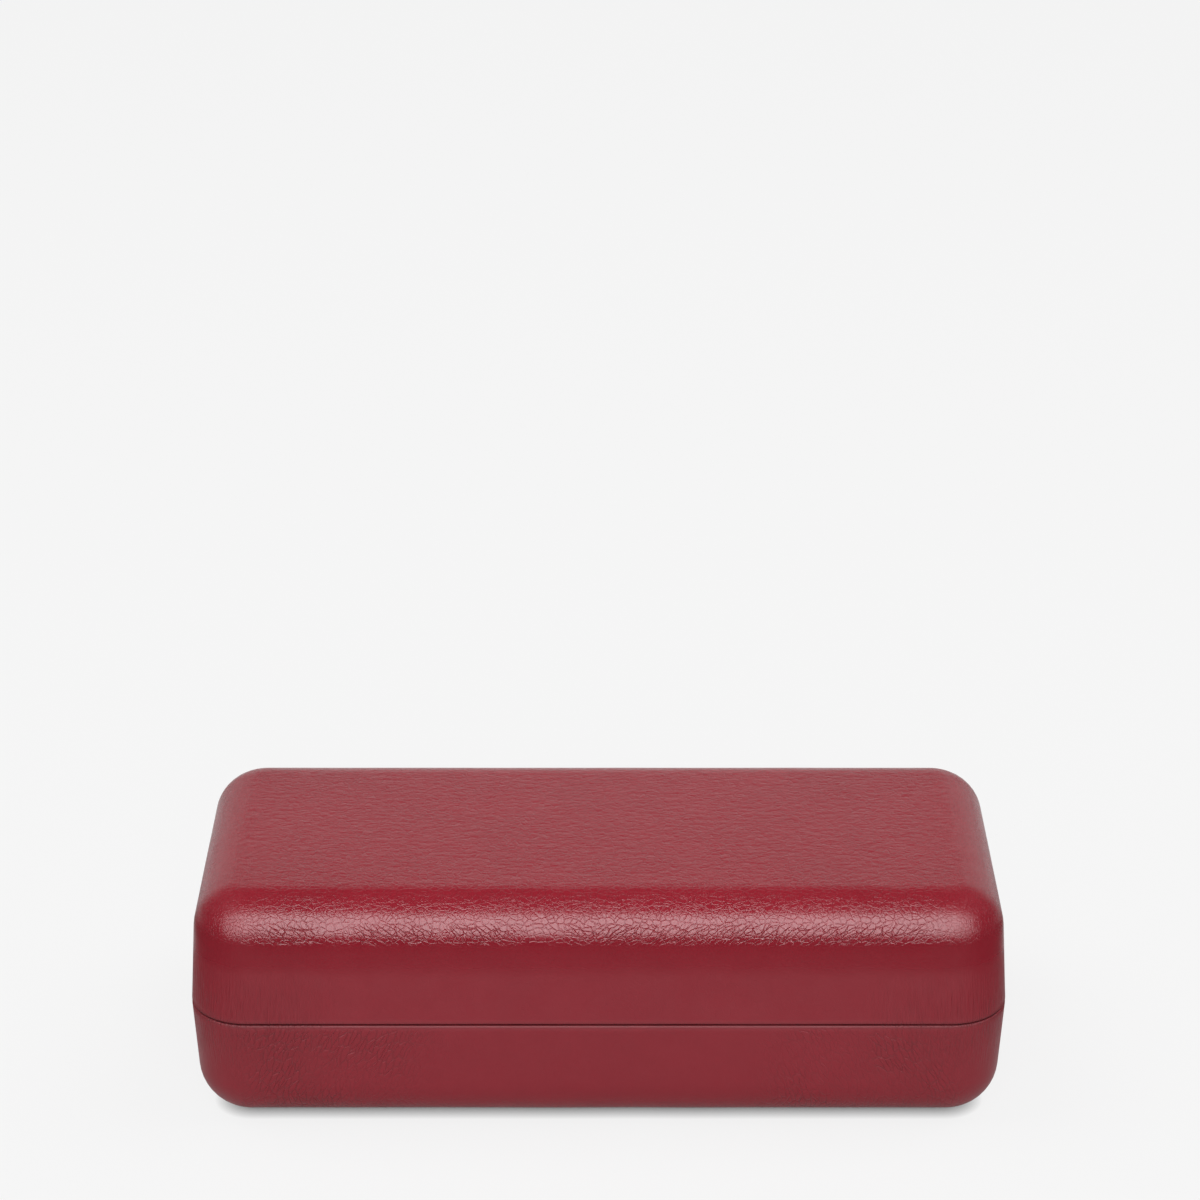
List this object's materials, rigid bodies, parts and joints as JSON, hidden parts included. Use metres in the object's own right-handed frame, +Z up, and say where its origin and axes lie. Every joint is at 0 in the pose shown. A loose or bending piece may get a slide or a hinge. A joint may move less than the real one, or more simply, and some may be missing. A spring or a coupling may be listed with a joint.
{
  "type": "sunglasses case",
  "caption": "Hard clamshell case for sunglasses, two leather-covered half shells on a sprung pin hinge, with padded suede-lined trays.",
  "frame": {"origin": "middle of the flat bottom that the case stands on", "axes": "+X along the length to the right, +Y to the back where the hinge is, +Z up; the front faces -Y"},
  "size_m": [0.165, 0.0738, 0.05],
  "materials": {
    "red_leather": "fine pebble grain, satin",
    "shell_plastic": "moulded",
    "foam": "closed-cell foam",
    "tray_plastic": "thermoformed sheet",
    "suede": "brushed microsuede",
    "hinge_steel": "nickel plated, satin",
    "spring_steel": "bright drawn wire"
  },
  "bodies": {
    "base": {"base_leather": "red_leather", "base_shell": "shell_plastic", "base_floor_pad": "foam", "base_tray": "tray_plastic", "base_lining": "suede", "base_hinge_leaf": "hinge_steel", "base_rivets": "hinge_steel", "hinge_pin": "hinge_steel", "hinge_spring_left": "spring_steel", "hinge_spring_right": "spring_steel"},
    "lid": {"lid_leather": "red_leather", "lid_shell": "shell_plastic", "lid_top_pad": "foam", "lid_tray": "tray_plastic", "lid_lining": "suede", "lid_hinge_leaf": "hinge_steel", "lid_rivets": "hinge_steel"}
  },
  "joints": [
    {"name": "lid_hinge", "type": "hinge", "parent": "base", "child": "lid", "pos_m": [0, 0.036, 0.024], "axis": [-1, 0, 0], "range_deg": [0, 105], "stiffness_Nm_per_rad": 0.05, "springref_deg": -20.05, "deforming": ["hinge_spring_left", "hinge_spring_right"]}
  ]
}
